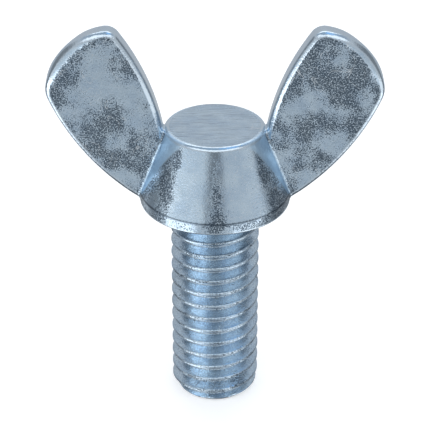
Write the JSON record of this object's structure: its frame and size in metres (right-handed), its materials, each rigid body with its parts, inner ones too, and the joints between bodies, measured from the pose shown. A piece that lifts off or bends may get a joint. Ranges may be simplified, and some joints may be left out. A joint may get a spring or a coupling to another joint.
{
  "type": "wing screw",
  "caption": "Wing screw: forged head with a conical hub, a low round flange and upright wings, on a threaded stud with a chamfered point.",
  "frame": {"origin": "centre of the hub's flat underside, the face that bears on the work", "axes": "+Z along the screw's axis, from the threaded stud up towards the wings; the wings spread along X and their flat faces look along +Y and -Y"},
  "size_m": [0.022, 0.01, 0.0275],
  "materials": {
    "head_zinc": "cold-forged steel, bright zinc plated and blue passivated",
    "stud_zinc": "rolled steel thread, bright zinc plated and blue passivated"
  },
  "bodies": {
    "root": {"wing_head": "head_zinc", "threaded_stud": "stud_zinc"}
  },
  "joints": []
}
